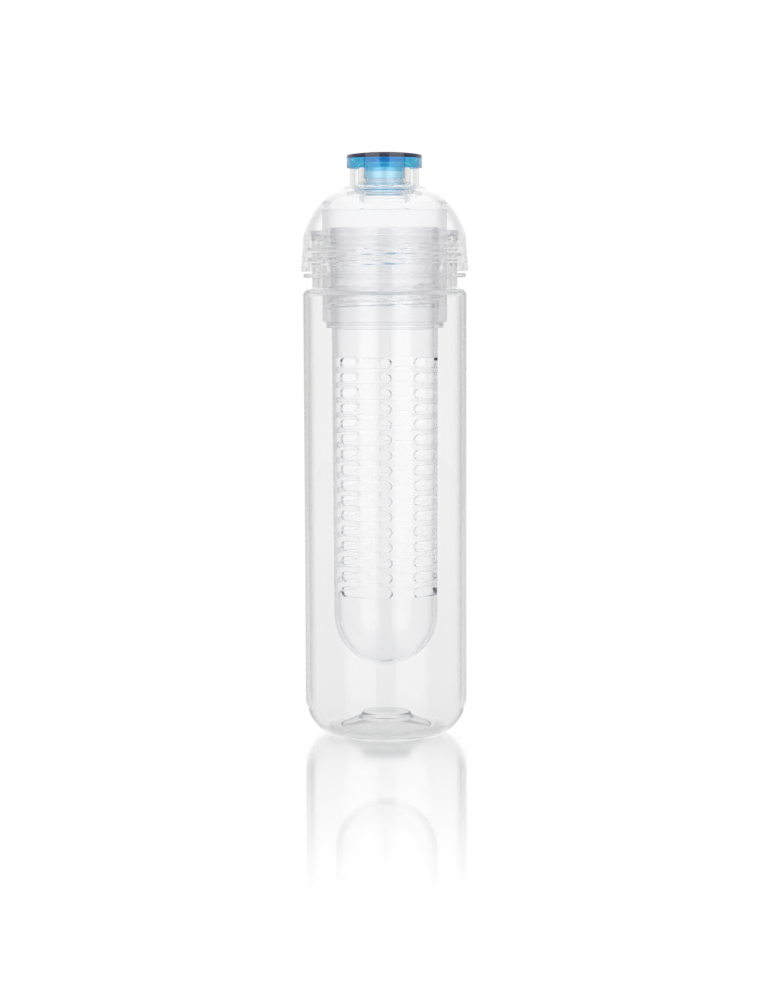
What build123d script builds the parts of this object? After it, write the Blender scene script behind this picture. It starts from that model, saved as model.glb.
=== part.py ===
from build123d import *
import math
import os

# Fruit infuser water bottle
# A clear bottle, a clear domed lid that screws on it, a slotted infuser tube that
# screws into the lid from below, and a blue stopper pushed into the lid's spout.
# Millimetres, +Z up. The origin is on the axis, on the surface the bottle stands on.
# The front of the bottle faces -Y.

# Bottle body
body_radius = 32.5
body_wall = 1.7
body_straight_top = 176.0
base_corner_width = 12.0
base_corner_height = 16.0
base_wall = 2.0
foot_width = 2.0
punt_radius = 10.5
punt_rise = 4.5
punt_step_width = 0.9
punt_step_rise = 1.7

# Neck of the bottle, with a support ring below the lid's rim
neck_step = 3.55
neck_wall = 2.05
neck_fillet = 1.0
mouth_lip_round = 0.5
support_reach = 3.45
support_rise = 3.45
support_thickness = 1.5
support_gap = 0.9
support_round = 0.45

# Screw threads, all right-handed
thread_pitch = 4.0
thread_root_width = 1.9
thread_crest_width = 1.1
thread_bite = 0.5
pieces_per_turn = 3

# Neck thread and the lid's thread
neck_thread_depth = 1.6
neck_thread_rise = 2.6
neck_thread_margin = 1.6
neck_thread_turns = 2
lid_thread_turns = 2
lid_thread_clearance = 0.35

# Lid dome
lid_skirt_wall = 2.4
lid_bore_margin = 0.4
dome_draft = 1.1
dome_start_rise = 2.2
dome_rise = 19.4
dome_wall = 2.0
dome_blend = 12.0
# Where the dome's outline passes, as shares of the way in and of the way up
dome_shoulder_share = (0.108, 0.263)
dome_knee_share = (0.347, 0.602)

# Grip fins round the lid's rim
fin_count = 8
fin_width = 6.6
fin_reach = 1.5
fin_root = 1.0
fin_height = 5.6
fin_tip_width = 0.8
fin_tip_share = 0.8

# Mouthpiece, the ring that stands in a groove in the dome's top
mouthpiece_gap = 1.7
mouthpiece_wall = 1.6
mouthpiece_length = 13.3
mouthpiece_lip_width = 3.1
mouthpiece_lip_thickness = 1.5
mouthpiece_round = 0.5
groove_depth = 2.35
groove_clearance = 0.1
groove_margin = 0.9

# Spout tube inside the mouthpiece, and the drain tube below it
spout_bore_radius = 8.7
spout_tube_wall = 1.7
spout_tube_gap = 0.3
spout_cone_rise = 4.0
hub_margin = 1.2
hub_depth = 3.85
drain_tube_wall = 1.3
drain_tube_length = 5.8

# Infuser sleeve, fixed to a seat under the dome
sleeve_gap = 2.1
sleeve_wall = 1.9
sleeve_length = 43.6
sleeve_seat_drop = 9.95
sleeve_seat_margin = 0.5
sleeve_corner_round = 1.2
sleeve_flange_gap = 0.8
sleeve_flange_thickness = 1.8

# Gaskets
lid_gasket_thickness = 1.8
infuser_gasket_thickness = 0.9
gasket_clearance = 0.2

# Infuser basket
basket_wall = 1.4
basket_top_gap = 6.9
basket_floor_gap = 19.35
basket_flange_lap = 0.5
basket_flange_thickness = 1.2
basket_shoulder_step = 0.3
basket_taper = 0.5
basket_thread_depth = 1.1
basket_thread_rise = 7.5
basket_thread_turns = 2
sleeve_thread_turns = 2
basket_thread_clearance = 0.3
tip_flat_radius = 3.9
gate_pip_radius = 2.8
gate_pip_height = 0.5

# Slots in the basket, in columns with plain ribs between them, in as many rows as fit
slot_columns = 4
slot_pitch = 6.07
slot_height = 3.75
slot_angle = 62
slot_first_rise = 10.43
slot_last_drop = 10
rib_turn = 20

# Stopper: cap, plug and seal
cap_skirt_wall = 1.0
cap_skirt_length = 4.05
cap_fit = 0.25
cap_edge_thickness = 1.2
cap_crown_rise = 0.65
plug_clearance = 0.5
plug_wall = 1.6
plug_length = 11.9
seal_groove_depth = 0.8
seal_rise = 1.65
seal_thickness = 2.15
seal_fit = 0.05

# How far cuts run past the surface they start from
overrun = 1.0


# Radii and heights that follow from the sizes above
bore_radius = body_radius - body_wall
neck_radius = body_radius - neck_step
mouth_radius = neck_radius - neck_wall
support_radius = neck_radius + support_reach
shoulder_round = neck_step - neck_fillet
foot_outer = body_radius - base_corner_width
foot_inner = foot_outer - foot_width
punt_step_radius = punt_radius - punt_step_width
punt_top = punt_rise + punt_step_rise
neck_bottom = body_straight_top + shoulder_round + neck_fillet
support_height = neck_bottom + support_rise
lid_rim_height = support_height + support_thickness + support_gap
neck_thread_start = lid_rim_height + neck_thread_rise
mouth_height = neck_thread_start + neck_thread_turns * thread_pitch + neck_thread_margin

spout_tube_radius = spout_bore_radius + spout_tube_wall
mouthpiece_bore = spout_tube_radius + mouthpiece_gap
mouthpiece_radius = mouthpiece_bore + mouthpiece_wall

lid_bore_radius = neck_radius + neck_thread_depth + lid_thread_clearance
lid_rim_radius = lid_bore_radius + lid_skirt_wall
lid_bore_top = mouth_height - lid_bore_margin
lid_thread_start = neck_thread_start + thread_pitch / 2
dome_radius = lid_rim_radius - dome_draft
dome_height = mouth_height + dome_start_rise
dome_top_radius = mouthpiece_radius + groove_margin
dome_top_height = dome_height + dome_rise
dome_inner_radius = dome_radius - dome_wall
dome_inner_top = dome_top_height - dome_wall

mouthpiece_bottom = dome_top_height - groove_depth
mouthpiece_top = mouthpiece_bottom + mouthpiece_length
mouthpiece_lip_bottom = mouthpiece_top - mouthpiece_lip_thickness
spout_tube_top = mouthpiece_lip_bottom - spout_tube_gap
drain_tube_radius = spout_bore_radius + drain_tube_wall
hub_bottom = dome_top_height - hub_depth
hub_radius = mouthpiece_radius + hub_margin
drain_tube_bottom = hub_bottom - drain_tube_length

sleeve_radius = mouth_radius - sleeve_gap
sleeve_bore_radius = sleeve_radius - sleeve_wall
sleeve_top = dome_top_height - sleeve_seat_drop
sleeve_bottom = sleeve_top - sleeve_length
sleeve_flange_radius = dome_inner_radius - sleeve_flange_gap
sleeve_flange_bottom = mouth_height + lid_gasket_thickness
lid_gasket_radius = sleeve_flange_radius - gasket_clearance

basket_radius = sleeve_bore_radius - basket_thread_depth - basket_thread_clearance
basket_shoulder_radius = basket_radius - basket_shoulder_step
basket_tip_radius = basket_shoulder_radius - basket_taper
basket_flange_radius = sleeve_bore_radius + basket_flange_lap
basket_flange_top = sleeve_bottom - infuser_gasket_thickness
basket_flange_bottom = basket_flange_top - basket_flange_thickness
basket_top = sleeve_top - basket_top_gap
basket_centre = punt_top + base_wall + basket_floor_gap + basket_tip_radius
basket_inner_radius = basket_tip_radius - basket_wall
basket_inner_bottom = basket_centre - basket_inner_radius
basket_thread_start = basket_flange_top + basket_thread_rise
sleeve_thread_start = basket_thread_start + thread_pitch / 2
tip_angle = math.degrees(math.asin(tip_flat_radius / basket_tip_radius))
tip_height = basket_centre - math.sqrt(basket_tip_radius**2 - tip_flat_radius**2)
slot_width = 2 * basket_tip_radius * math.sin(math.radians(slot_angle / 2))
slot_first = basket_centre + slot_first_rise
slot_room = basket_flange_bottom - slot_last_drop - slot_first
slot_rows = math.floor(slot_room / slot_pitch) + 1

cap_bore_radius = mouthpiece_radius + cap_fit
cap_radius = cap_bore_radius + cap_skirt_wall
cap_edge_top = mouthpiece_top + cap_edge_thickness
cap_crown_top = cap_edge_top + cap_crown_rise
plug_radius = spout_bore_radius - plug_clearance
plug_bottom = mouthpiece_top - plug_length
seal_inner_radius = plug_radius - seal_groove_depth
seal_bottom = plug_bottom + seal_rise


def half_section(inner_radius, bottom, outer_radius, top, mode=Mode.ADD):
    """A ring's half section, drawn in a sketch on the XZ plane."""
    with Locations((inner_radius, bottom)):
        Rectangle(outer_radius - inner_radius, top - bottom, align=Align.MIN, mode=mode)


def dome_arcs(start, end):
    """The dome's outline as two arcs that meet smoothly, from start up to end."""
    width = start[0] - end[0]
    rise = end[1] - start[1]
    shoulder = (start[0] - width * dome_shoulder_share[0], start[1] + rise * dome_shoulder_share[1])
    knee = (start[0] - width * dome_knee_share[0], start[1] + rise * dome_knee_share[1])
    lower_arc = ThreePointArc(start, shoulder, knee)
    TangentArc(knee, end, tangent=lower_arc % 1)


def thread_piece(root_radius, depth, outward):
    """A short piece of a thread rib, its first end on +X at height 0."""
    reach = depth if outward else -depth
    bite = -thread_bite if outward else thread_bite
    with BuildPart() as piece:
        with BuildLine() as path:
            Helix(pitch=thread_pitch, height=thread_pitch / pieces_per_turn, radius=root_radius)
        first_end = Plane(origin=path.line @ 0, x_dir=(1, 0, 0), z_dir=path.line % 0)
        with BuildSketch(first_end):
            with BuildLine():
                Polyline(
                    (bite, -thread_root_width / 2),
                    (reach, -thread_crest_width / 2),
                    (reach, thread_crest_width / 2),
                    (bite, thread_root_width / 2),
                    close=True,
                )
            make_face()
        sweep(path=path.line, is_frenet=True)
    return piece.part


def thread_places(start_height, turns, early_pieces=0):
    """Where a rib's pieces go, end to end up the helix; early ones lie below the start."""
    turn_step = 360 / pieces_per_turn
    rise_step = thread_pitch / pieces_per_turn
    return [
        Location((0, 0, start_height + n * rise_step), (0, 0, n * turn_step))
        for n in range(-early_pieces, turns * pieces_per_turn - early_pieces)
    ]


def grip_fin():
    """A grip fin towards +X, wide and deep at the lid's rim and narrow at its tip."""
    root = lid_rim_radius - fin_root
    with BuildPart() as fin:
        with BuildSketch(Plane.XY.offset(lid_rim_height)):
            with Locations((root, 0)):
                Rectangle(fin_root + fin_reach, fin_width, align=(Align.MIN, Align.CENTER))
        with BuildSketch(Plane.XY.offset(lid_rim_height + fin_height)):
            with Locations((root, 0)):
                Rectangle(fin_root * fin_tip_share, fin_tip_width, align=(Align.MIN, Align.CENTER))
        loft()
    return fin.part


# Bottle body
with BuildPart() as bottle_body:
    with BuildSketch(Plane.XZ):
        with BuildLine():
            Polyline(
                (0, punt_top),
                (punt_step_radius, punt_top),
                (punt_radius, punt_rise),
                (foot_inner, 0),
                (foot_outer, 0),
            )
            EllipticalCenterArc(
                (foot_outer, base_corner_height),
                base_corner_width,
                base_corner_height,
                start_angle=270,
                arc_size=90,
            )
            Line((body_radius, base_corner_height), (body_radius, body_straight_top))
            CenterArc((body_radius - shoulder_round, body_straight_top), shoulder_round, 0, 90)
            CenterArc((neck_radius + neck_fillet, neck_bottom), neck_fillet, 270, -90)
            Polyline(
                (neck_radius, neck_bottom),
                (neck_radius, mouth_height),
                (mouth_radius, mouth_height),
                (mouth_radius, neck_bottom),
            )
            CenterArc((neck_radius + neck_fillet, neck_bottom), neck_fillet + neck_wall, 180, 90)
            EllipticalCenterArc(
                (body_radius - shoulder_round, body_straight_top),
                shoulder_round - body_wall,
                shoulder_round - neck_wall,
                start_angle=0,
                arc_size=90,
            )
            Line((bore_radius, body_straight_top), (bore_radius, base_corner_height))
            EllipticalCenterArc(
                (bore_radius - base_corner_width, base_corner_height),
                base_corner_width,
                base_corner_height - base_wall,
                start_angle=270,
                arc_size=90,
            )
            Polyline(
                (bore_radius - base_corner_width, base_wall),
                (foot_inner, base_wall),
                (punt_radius, punt_rise + base_wall),
                (punt_step_radius, punt_top + base_wall),
                (0, punt_top + base_wall),
                (0, punt_top),
            )
        make_face()
        fillet(vertices().sort_by(Axis.Y)[-2:], mouth_lip_round)
    revolve(axis=Axis.Z)
    with BuildSketch(Plane.XZ):
        half_section(
            neck_radius - neck_wall / 2,
            support_height,
            support_radius,
            support_height + support_thickness,
        )
        fillet(vertices().sort_by(Axis.X)[-2:], support_round)
    revolve(axis=Axis.Z)
    neck_rib = thread_piece(neck_radius, neck_thread_depth, outward=True)
    with Locations(thread_places(neck_thread_start, neck_thread_turns)):
        add(neck_rib)
bottle_body.part.label = "bottle_body"


# Lid dome: skirt, dome, hub, spout tube, drain tube and the sleeve's seat in one piece
with BuildPart() as lid_dome:
    with BuildSketch(Plane.XZ):
        with BuildLine():
            Line((lid_rim_radius, lid_rim_height), (dome_radius, dome_height))
            dome_arcs((dome_radius, dome_height), (dome_top_radius, dome_top_height))
            Polyline(
                (dome_top_radius, dome_top_height),
                (0, dome_top_height),
                (0, lid_rim_height),
                (lid_rim_radius, lid_rim_height),
            )
        make_face()
        fillet(vertices().sort_by_distance((dome_radius, dome_height))[0], dome_blend)
        half_section(0, lid_rim_height, spout_tube_radius, spout_tube_top)
    revolve(axis=Axis.Z)
    with BuildSketch(Plane.XZ):
        with BuildLine():
            Polyline(
                (0, lid_rim_height - overrun),
                (lid_bore_radius, lid_rim_height - overrun),
                (lid_bore_radius, lid_bore_top),
                (dome_inner_radius, dome_height),
            )
            dome_arcs((dome_inner_radius, dome_height), (dome_top_radius, dome_inner_top))
            Polyline(
                (dome_top_radius, dome_inner_top),
                (0, dome_inner_top),
                (0, lid_rim_height - overrun),
            )
        make_face()
        half_section(0, hub_bottom, hub_radius, dome_top_height, mode=Mode.SUBTRACT)
        half_section(0, drain_tube_bottom, drain_tube_radius, dome_top_height, mode=Mode.SUBTRACT)
        half_section(
            sleeve_bore_radius,
            sleeve_top,
            sleeve_radius + sleeve_seat_margin,
            dome_top_height,
            mode=Mode.SUBTRACT,
        )
    revolve(axis=Axis.Z, mode=Mode.SUBTRACT)
    with BuildSketch(Plane.XZ):
        with BuildLine():
            Polyline(
                (mouthpiece_radius + groove_clearance, spout_tube_top),
                (mouthpiece_radius + groove_clearance, mouthpiece_bottom),
                (mouthpiece_bore - groove_clearance, mouthpiece_bottom),
                (spout_tube_radius, mouthpiece_bottom + spout_cone_rise),
                (spout_tube_radius, spout_tube_top),
                close=True,
            )
        make_face()
    revolve(axis=Axis.Z, mode=Mode.SUBTRACT)
    Cylinder(
        spout_bore_radius,
        spout_tube_top + overrun,
        align=(Align.CENTER, Align.CENTER, Align.MIN),
        mode=Mode.SUBTRACT,
    )
    lid_rib = thread_piece(lid_bore_radius, neck_thread_depth, outward=False)
    with Locations(thread_places(lid_thread_start, lid_thread_turns, early_pieces=2)):
        add(lid_rib)
    fin = grip_fin()
    with PolarLocations(0, fin_count, start_angle=-90):
        add(fin)
lid_dome.part.label = "lid_dome"


# Mouthpiece
with BuildPart() as mouthpiece:
    with BuildSketch(Plane.XZ):
        half_section(mouthpiece_bore, mouthpiece_bottom, mouthpiece_radius, mouthpiece_top)
        half_section(
            mouthpiece_radius - mouthpiece_lip_width,
            mouthpiece_lip_bottom,
            mouthpiece_radius,
            mouthpiece_top,
        )
        fillet(vertices().sort_by(Axis.Y)[-2:], mouthpiece_round)
    revolve(axis=Axis.Z)
mouthpiece.part.label = "mouthpiece"


# Infuser sleeve
with BuildPart() as infuser_sleeve:
    with BuildSketch(Plane.XZ):
        half_section(sleeve_bore_radius, sleeve_bottom, sleeve_radius, sleeve_top)
        fillet(vertices().group_by(Axis.Y)[0].sort_by(Axis.X)[-1], sleeve_corner_round)
        half_section(
            sleeve_bore_radius,
            sleeve_flange_bottom,
            sleeve_flange_radius,
            sleeve_flange_bottom + sleeve_flange_thickness,
        )
    revolve(axis=Axis.Z)
    sleeve_rib = thread_piece(sleeve_bore_radius, basket_thread_depth, outward=False)
    with Locations(thread_places(sleeve_thread_start, sleeve_thread_turns, early_pieces=2)):
        add(sleeve_rib)
infuser_sleeve.part.label = "infuser_sleeve"


# Lid gasket, between the bottle's mouth and the sleeve's flange
with BuildPart() as lid_gasket:
    with BuildSketch(Plane.XY.offset(mouth_height)):
        Circle(lid_gasket_radius)
        Circle(sleeve_radius + gasket_clearance, mode=Mode.SUBTRACT)
    extrude(amount=lid_gasket_thickness)
lid_gasket.part.label = "lid_gasket"


# Infuser gasket, between the basket's flange and the sleeve's end
with BuildPart() as infuser_gasket:
    with BuildSketch(Plane.XY.offset(basket_flange_top)):
        Circle(basket_flange_radius)
        Circle(basket_radius + gasket_clearance, mode=Mode.SUBTRACT)
    extrude(amount=infuser_gasket_thickness)
infuser_gasket.part.label = "infuser_gasket"


# Infuser basket
with BuildPart() as infuser_basket:
    with BuildSketch(Plane.XZ):
        with BuildLine():
            Polyline((0, basket_inner_bottom), (0, tip_height), (tip_flat_radius, tip_height))
            CenterArc((0, basket_centre), basket_tip_radius, tip_angle - 90, 90 - tip_angle)
            Polyline(
                (basket_tip_radius, basket_centre),
                (basket_shoulder_radius, basket_flange_bottom),
                (basket_radius, basket_flange_bottom),
                (basket_radius, basket_top),
                (basket_radius - basket_wall, basket_top),
                (basket_inner_radius, basket_centre),
            )
            CenterArc((0, basket_centre), basket_inner_radius, 0, -90)
        make_face()
        half_section(
            basket_radius - basket_wall / 2,
            basket_flange_bottom,
            basket_flange_radius,
            basket_flange_top,
        )
    revolve(axis=Axis.Z)
    with BuildSketch(Plane.XY.offset(basket_inner_bottom - basket_wall / 2)):
        Circle(gate_pip_radius)
    extrude(amount=basket_wall / 2 + gate_pip_height)
    basket_rib = thread_piece(basket_radius, basket_thread_depth, outward=True)
    with Locations(thread_places(basket_thread_start, basket_thread_turns)):
        add(basket_rib)
    for column in range(slot_columns // 2):
        slot_turn = rib_turn + (column + 0.5) * 360 / slot_columns
        with BuildSketch(Plane.XZ.rotated((0, 0, slot_turn))):
            with Locations((0, slot_first + (slot_rows - 1) * slot_pitch / 2)):
                with GridLocations(0, slot_pitch, 1, slot_rows):
                    SlotOverall(slot_width, slot_height)
        extrude(amount=basket_radius + overrun, both=True, mode=Mode.SUBTRACT)
infuser_basket.part.label = "infuser_basket"


# Stopper cap, its top arched from side to side
with BuildPart() as stopper_cap:
    with BuildSketch(Plane.XZ):
        half_section(0, mouthpiece_top - cap_skirt_length, cap_radius, cap_crown_top)
        half_section(
            0,
            mouthpiece_top - cap_skirt_length,
            cap_bore_radius,
            mouthpiece_top,
            mode=Mode.SUBTRACT,
        )
    revolve(axis=Axis.Z)
    with BuildSketch(Plane.XZ):
        with BuildLine():
            ThreePointArc(
                (-cap_radius, cap_edge_top),
                (0, cap_crown_top),
                (cap_radius, cap_edge_top),
            )
            Polyline(
                (cap_radius, cap_edge_top),
                (cap_radius + overrun, cap_edge_top),
                (cap_radius + overrun, cap_crown_top + overrun),
                (-cap_radius - overrun, cap_crown_top + overrun),
                (-cap_radius - overrun, cap_edge_top),
                (-cap_radius, cap_edge_top),
            )
        make_face()
    extrude(amount=cap_radius + overrun, both=True, mode=Mode.SUBTRACT)
stopper_cap.part.label = "stopper_cap"


# Stopper plug, a cup that is open downwards, with a groove for its seal
with BuildPart() as stopper_plug:
    with BuildSketch(Plane.XZ):
        half_section(0, plug_bottom, plug_radius, mouthpiece_top)
        half_section(
            0,
            plug_bottom,
            plug_radius - plug_wall,
            mouthpiece_top - plug_wall,
            mode=Mode.SUBTRACT,
        )
        half_section(
            seal_inner_radius,
            seal_bottom,
            plug_radius,
            seal_bottom + seal_thickness,
            mode=Mode.SUBTRACT,
        )
    revolve(axis=Axis.Z)
stopper_plug.part.label = "stopper_plug"


# Stopper seal
with BuildPart() as stopper_seal:
    with BuildSketch(Plane.XY.offset(seal_bottom)):
        Circle(spout_bore_radius - seal_fit)
        Circle(seal_inner_radius, mode=Mode.SUBTRACT)
    extrude(amount=seal_thickness)
stopper_seal.part.label = "stopper_seal"


os.makedirs("parts", exist_ok=True)
for piece in (
    bottle_body,
    lid_dome,
    mouthpiece,
    infuser_sleeve,
    lid_gasket,
    infuser_gasket,
    infuser_basket,
    stopper_cap,
    stopper_plug,
    stopper_seal,
):
    export_step(piece.part, f"parts/{piece.part.label}.step")
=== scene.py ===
import math

import bmesh
import bpy
from mathutils import Euler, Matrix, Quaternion, Vector


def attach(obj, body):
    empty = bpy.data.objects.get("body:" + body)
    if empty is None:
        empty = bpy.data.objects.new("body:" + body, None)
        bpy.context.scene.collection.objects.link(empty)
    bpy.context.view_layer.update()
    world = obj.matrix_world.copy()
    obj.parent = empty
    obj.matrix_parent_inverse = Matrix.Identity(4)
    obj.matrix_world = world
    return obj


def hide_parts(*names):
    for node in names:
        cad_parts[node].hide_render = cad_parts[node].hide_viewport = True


# Fruit infuser water bottle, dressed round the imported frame.
# Its sizes are in millimetres, as on a drawing, and each mesh is made in metres.
# The bottle's front faces -Y and the camera looks along +Y.

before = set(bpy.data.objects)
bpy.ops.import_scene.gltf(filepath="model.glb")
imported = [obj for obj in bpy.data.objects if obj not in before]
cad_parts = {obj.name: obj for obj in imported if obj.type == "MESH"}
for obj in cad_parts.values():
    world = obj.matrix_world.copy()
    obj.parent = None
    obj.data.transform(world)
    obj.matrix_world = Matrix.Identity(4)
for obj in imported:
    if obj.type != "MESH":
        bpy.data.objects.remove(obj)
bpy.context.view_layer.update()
MM = 0.001

# Bottle body
body_radius = 32.5
body_wall = 1.7
body_straight_top = 176.0
base_corner_width = 12.0
base_corner_height = 16.0
base_wall = 2.0
foot_width = 2.0
punt_radius = 10.5
punt_rise = 4.5
punt_step_width = 0.9
punt_step_rise = 1.7

# Neck of the bottle, with a support ring below the lid's rim
neck_step = 3.55
neck_wall = 2.05
neck_fillet = 1.0
mouth_lip_round = 0.5
support_reach = 3.45
support_rise = 3.45
support_thickness = 1.5
support_gap = 0.9
support_round = 0.45

# Screw threads, all right-handed
thread_pitch = 4.0
thread_root_width = 1.9
thread_crest_width = 1.1
thread_fade_turns = 0.06
# How much of a turn earlier the threads inside the lid and the sleeve start
inner_thread_early_share = 2 / 3

# Neck thread and the lid's thread
neck_thread_depth = 1.6
neck_thread_rise = 2.6
neck_thread_margin = 1.6
neck_thread_turns = 2
lid_thread_turns = 2
lid_thread_clearance = 0.35

# Lid dome
lid_skirt_wall = 2.4
lid_bore_margin = 0.4
dome_draft = 1.1
dome_start_rise = 2.2
dome_rise = 19.4
dome_wall = 2.0
skirt_blend = 8.0
# Where the dome's outline passes, as shares of the way in and of the way up
dome_shoulder_share = (0.108, 0.263)
dome_knee_share = (0.347, 0.602)

# Grip fins round the lid's rim
fin_count = 8
fin_width = 6.6
fin_reach = 1.5
fin_root = 1.0
fin_height = 5.6
fin_tip_width = 0.8
fin_tip_share = 0.8

# Mouthpiece, the ring that stands in a groove in the dome's top
mouthpiece_gap = 1.7
mouthpiece_wall = 1.6
mouthpiece_length = 13.3
mouthpiece_lip_width = 3.1
mouthpiece_lip_thickness = 1.5
mouthpiece_round = 0.5
groove_depth = 2.35
groove_lip_rise = 0.15
groove_clearance = 0.1
groove_margin = 0.9

# Spout tube inside the mouthpiece, and the drain tube below it
spout_bore_radius = 8.7
spout_tube_wall = 1.7
spout_tube_gap = 0.3
spout_cone_rise = 4.0
hub_margin = 1.2
hub_depth = 3.85
drain_tube_wall = 1.3
drain_tube_length = 5.8

# Infuser sleeve, fixed to a seat under the dome
sleeve_gap = 2.1
sleeve_wall = 1.9
sleeve_length = 43.6
sleeve_seat_drop = 9.95
sleeve_seat_margin = 0.5
sleeve_corner_round = 1.2
sleeve_flange_gap = 0.8
sleeve_flange_thickness = 1.8

# Gaskets
lid_gasket_thickness = 1.8
infuser_gasket_thickness = 0.9
gasket_clearance = 0.2

# Infuser basket
basket_wall = 1.4
basket_top_gap = 6.9
basket_floor_gap = 19.35
basket_flange_lap = 0.5
basket_flange_thickness = 1.2
basket_shoulder_step = 0.3
basket_taper = 0.5
basket_thread_depth = 1.1
basket_thread_rise = 7.5
basket_thread_turns = 2
sleeve_thread_turns = 2
basket_thread_clearance = 0.3
tip_flat_radius = 3.9
# In degrees from level: where the round tip would start without its flat, and where it ends inside
tip_start_angle = -89
inner_tip_end_angle = -80
gate_pip_radius = 2.8
gate_pip_height = 0.5

# Slots in the basket, in columns with plain ribs between them, in as many rows as fit
slot_columns = 4
slot_pitch = 6.07
slot_height = 3.75
slot_angle = 62
slot_first_rise = 10.43
slot_last_drop = 10
rib_turn = 20

# Stopper: cap, plug and seal
cap_skirt_wall = 1.0
cap_skirt_length = 4.05
cap_fit = 0.25
cap_edge_thickness = 1.2
cap_crown_rise = 0.65
plug_clearance = 0.5
plug_wall = 1.6
plug_length = 11.9
seal_groove_depth = 0.8
seal_rise = 1.65
seal_thickness = 2.15
seal_fit = 0.05

# Roundings, hairline gaps and margins of the meshes
edge_round = 0.2
hairline = 0.03
sharp_angle = math.radians(35)
# How far from an edge a plain or threaded stretch of wall begins
wall_margin = 1.0
# How far a point of a threaded wall may lie from the wall's radius
wall_tolerance = 0.01
# How far the points of the dome's underside stay from the corners that meet it
hub_margin_inside = 0.5
bore_margin_inside = 0.3
seat_margin_inside = 0.2
# A point nearer the axis than this is a pole
pole_radius = 1e-6
# Points nearer each other than this, in metres, are joined
join_distance = 2e-6

# Steps round each piece, up its threaded walls and along the arcs of its outline
round_segments = 256
basket_segments = 128
thread_row = 0.2
rounding_steps = 5
base_corner_steps = 28
shoulder_steps = 12
neck_fillet_steps = 8
inner_neck_steps = 10
inner_shoulder_steps = 6
dome_arc_steps = 24
tip_steps = 30
inner_tip_steps = 26
slot_end_steps = 10
slot_spread_steps = 4
crown_rings = 5
# How many points from the ends of the dome's outlines the skirt's and the hub's turns meet them
skirt_join = 3
hub_join = 4

# Painted shade along the edges of clear walls: their base colour darkens there. The range is how
# far a wall faces away from the eye where the painted shade starts and where it is full.
edge_range = (0.55, 0.85)
# How level a wall may get, as its normal's upward share, before its painted edge shade fades
edge_upright = (0.1, 0.5)
edge_sloping = (0.6, 0.9)

# Coat of the coloured plastics
coat_ior = 1.7
coat_roughness = 0.01

# Floor, in metres. Strengths are shares of white, and a range is where one gives way to the next.
floor_half_width = 1.2
floor_front = -0.6
floor_back = 3.0
floor_glow = 1.06
floor_light_range = (-0.3, 1.2)
shadow_share = 0.1
mirror_share = 0.9
mirror_share_unseen = 0.75
mirror_rise_range = (-0.36, -0.02)
mirror_fall_range = (0.03, 0.12)
mirror_side_range = (0.045, 0.09)
mirror_far_haze = 0.045
mirror_near_haze = 0.15
mirror_haze_range = (-0.09, -0.05)

# Room. Its white fades along a tilted axis from behind the bottle to the camera's side.
room_axis = (0, 0.89, 0.45)
room_range = (-0.5, 0.85)
front_light = 0.68
front_gloss = 0.12
side_light = 0.82
side_range = (0.08, 0.35)
horizon_range = (0.06, 0.14)

# Softboxes, in metres, on both sides of the camera
softbox_azimuth = 38
softbox_distance = 1.5
softbox_width = 1.3
softbox_height = 2.4
softbox_middle = 0.3
softbox_radiance = 1.12

# Camera: lens and sensor in millimetres, places in metres, angles in degrees
sensor_width = 36
lens = 97.56
camera_distance = 1.083
camera_height = 0.1889
camera_pitch = 5.01
camera_lean = -0.2

# How often light may pass on through the nested walls
clear_bounces = 64
mirror_bounces = 48
see_through_bounces = 16

# Radii and heights that follow from the sizes above
bore_radius = body_radius - body_wall
neck_radius = body_radius - neck_step
mouth_radius = neck_radius - neck_wall
support_radius = neck_radius + support_reach
shoulder_round = neck_step - neck_fillet
foot_outer = body_radius - base_corner_width
foot_inner = foot_outer - foot_width
punt_step_radius = punt_radius - punt_step_width
punt_top = punt_rise + punt_step_rise
neck_bottom = body_straight_top + shoulder_round + neck_fillet
support_height = neck_bottom + support_rise
lid_rim_height = support_height + support_thickness + support_gap
neck_thread_start = lid_rim_height + neck_thread_rise
mouth_height = neck_thread_start + neck_thread_turns * thread_pitch + neck_thread_margin

spout_tube_radius = spout_bore_radius + spout_tube_wall
mouthpiece_bore = spout_tube_radius + mouthpiece_gap
mouthpiece_radius = mouthpiece_bore + mouthpiece_wall

lid_bore_radius = neck_radius + neck_thread_depth + lid_thread_clearance
lid_rim_radius = lid_bore_radius + lid_skirt_wall
lid_bore_top = mouth_height - lid_bore_margin
lid_thread_start = neck_thread_start + thread_pitch / 2
dome_radius = lid_rim_radius - dome_draft
dome_height = mouth_height + dome_start_rise
dome_top_radius = mouthpiece_radius + groove_margin
dome_top_height = dome_height + dome_rise
dome_inner_radius = dome_radius - dome_wall
dome_inner_top = dome_top_height - dome_wall

mouthpiece_bottom = dome_top_height - groove_depth
mouthpiece_top = mouthpiece_bottom + mouthpiece_length
mouthpiece_lip_bottom = mouthpiece_top - mouthpiece_lip_thickness
spout_tube_top = mouthpiece_lip_bottom - spout_tube_gap
drain_tube_radius = spout_bore_radius + drain_tube_wall
hub_bottom = dome_top_height - hub_depth
hub_radius = mouthpiece_radius + hub_margin
drain_tube_bottom = hub_bottom - drain_tube_length

sleeve_radius = mouth_radius - sleeve_gap
sleeve_bore_radius = sleeve_radius - sleeve_wall
sleeve_top = dome_top_height - sleeve_seat_drop
sleeve_bottom = sleeve_top - sleeve_length
sleeve_flange_radius = dome_inner_radius - sleeve_flange_gap
sleeve_flange_bottom = mouth_height + lid_gasket_thickness
sleeve_flange_top = sleeve_flange_bottom + sleeve_flange_thickness
lid_gasket_radius = sleeve_flange_radius - gasket_clearance

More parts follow.
